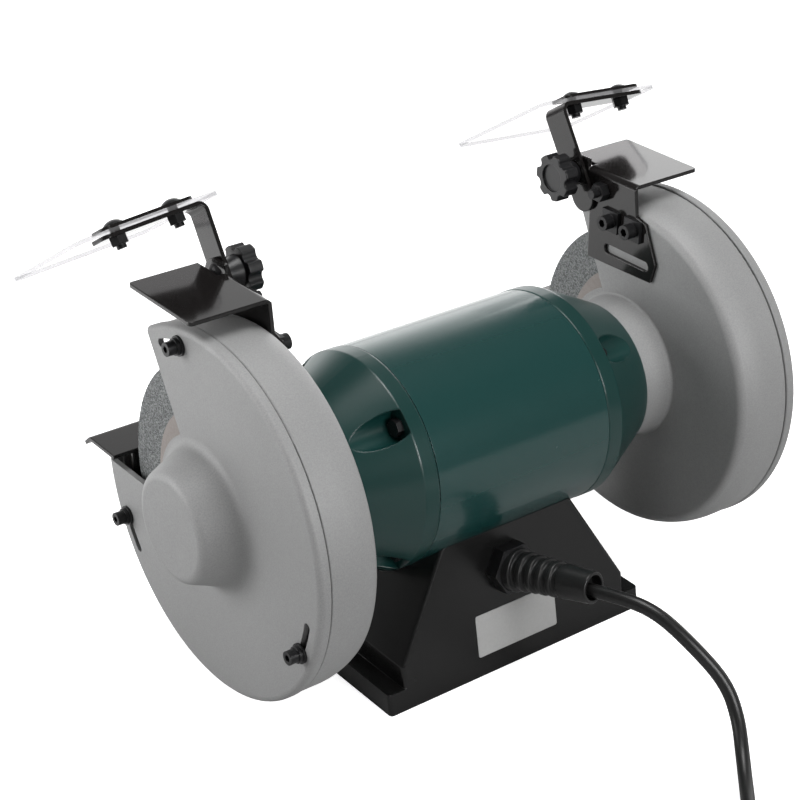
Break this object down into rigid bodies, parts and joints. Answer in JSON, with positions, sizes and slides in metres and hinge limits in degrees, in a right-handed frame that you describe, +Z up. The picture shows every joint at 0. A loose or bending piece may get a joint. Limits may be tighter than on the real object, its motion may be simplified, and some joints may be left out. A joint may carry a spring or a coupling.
{
  "type": "bench grinder",
  "caption": "Bench grinder: an induction motor on a stepped base turns a grinding wheel at each end, in cast guards with tilting clear eye shields and sliding tool rests.",
  "frame": {"origin": "on the bench under the middle of the motor axis, at the centre of the bench bolt pattern", "axes": "+X along the motor axis to the operator's right, -Y towards the operator, +Z up"},
  "size_m": [0.363, 0.472, 0.2572],
  "materials": {
    "green_paint": "gloss enamel",
    "green_casting": "gloss enamel on a casting",
    "black_paint": "fine satin powder coat",
    "black_sheet": "satin black sheet",
    "grey_casting": "silver-grey paint on a casting",
    "abrasive": "coarse grey grit",
    "dark_steel": "black oxide",
    "bright_steel": "machined",
    "core_steel": "laminated",
    "copper": "enamelled wire",
    "can_aluminium": "drawn can",
    "foam_rubber": "matt",
    "white_plastic": "moulded",
    "black_plastic": "fine grain",
    "green_plastic": "gloss",
    "soft_black": "satin",
    "blotter_paper": "matt",
    "clear_plastic": "clear polished"
  },
  "bodies": {
    "frame": {"base": "black_paint", "bottom_cover": "black_paint", "bottom_screws": "dark_steel", "motor_bolts": "dark_steel", "motor_tube": "green_paint", "end_shield_right": "green_casting", "end_shield_left": "green_casting", "tie_bolts": "dark_steel", "stator_core": "core_steel", "stator_windings": "copper", "capacitor": "can_aluminium", "capacitor_clamp": "bright_steel", "capacitor_pad": "foam_rubber", "terminal_block": "white_plastic", "switch_body": "black_plastic", "cable_gland": "black_plastic", "strain_relief": "soft_black", "mains_cord": "soft_black", "cord_coil": "soft_black", "cord_tail": "soft_black", "plug": "black_plastic", "bearing_outer_races": "bright_steel", "bearing_washers": "bright_steel", "guard_right": "grey_casting", "guard_left": "grey_casting", "cover_right": "grey_casting", "cover_left": "grey_casting", "cover_screws": "dark_steel", "guard_screws": "dark_steel", "shield_bracket_right": "black_sheet", "shield_bracket_left": "black_sheet", "bracket_screws": "dark_steel", "rest_screws": "dark_steel", "pivot_bolts": "dark_steel", "stop_screws": "dark_steel"},
    "rotor": {"shaft": "bright_steel", "rotor_core": "core_steel", "bearing_inner_races": "bright_steel", "bearing_balls": "bright_steel", "grinding_wheel_right": "abrasive", "grinding_wheel_left": "abrasive", "inner_flanges": "bright_steel", "outer_flanges": "bright_steel", "blotters": "blotter_paper", "arbor_nuts": "bright_steel"},
    "tool_rest_right": {"tool_rest_right": "black_sheet"},
    "shield_right": {"shield_arm_right": "black_sheet", "eye_shield_right": "clear_plastic", "clamp_strip_right": "black_sheet", "shield_bolts_right": "dark_steel"},
    "knob_right": {"knob_right": "black_plastic"},
    "tool_rest_left": {"tool_rest_left": "black_sheet"},
    "shield_left": {"shield_arm_left": "black_sheet", "eye_shield_left": "clear_plastic", "clamp_strip_left": "black_sheet", "shield_bolts_left": "dark_steel"},
    "knob_left": {"knob_left": "black_plastic"},
    "rocker": {"switch_rocker": "green_plastic"}
  },
  "joints": [
    {"name": "rotor_spin", "type": "hinge", "parent": "frame", "child": "rotor", "pos_m": [0, 0, 0.115], "axis": [1, 0, 0], "continuous": true},
    {"name": "rest_slide_right", "type": "slide", "parent": "frame", "child": "tool_rest_right", "axis": [0, 1, 0], "range_m": [-0.006, 0.0015]},
    {"name": "shield_tilt_right", "type": "hinge", "parent": "frame", "child": "shield_right", "pos_m": [0.112, -0.041, 0.2155], "axis": [1, 0, 0], "range_deg": [-60, 9]},
    {"name": "knob_turn_right", "type": "hinge", "parent": "frame", "child": "knob_right", "pos_m": [0.1, -0.041, 0.2155], "axis": [-1, 0, 0], "range_deg": [0, 360]},
    {"name": "rest_slide_left", "type": "slide", "parent": "frame", "child": "tool_rest_left", "axis": [0, 1, 0], "range_m": [-0.006, 0.0015]},
    {"name": "shield_tilt_left", "type": "hinge", "parent": "frame", "child": "shield_left", "pos_m": [-0.112, -0.041, 0.2155], "axis": [1, 0, 0], "range_deg": [-60, 9]},
    {"name": "knob_turn_left", "type": "hinge", "parent": "frame", "child": "knob_left", "pos_m": [-0.1, -0.041, 0.2155], "axis": [1, 0, 0], "range_deg": [0, 360]},
    {"name": "switch_rock", "type": "hinge", "parent": "frame", "child": "rocker", "pos_m": [0, -0.0471, 0.0353], "axis": [-1, 0, 0], "range_deg": [0, 20]}
  ]
}
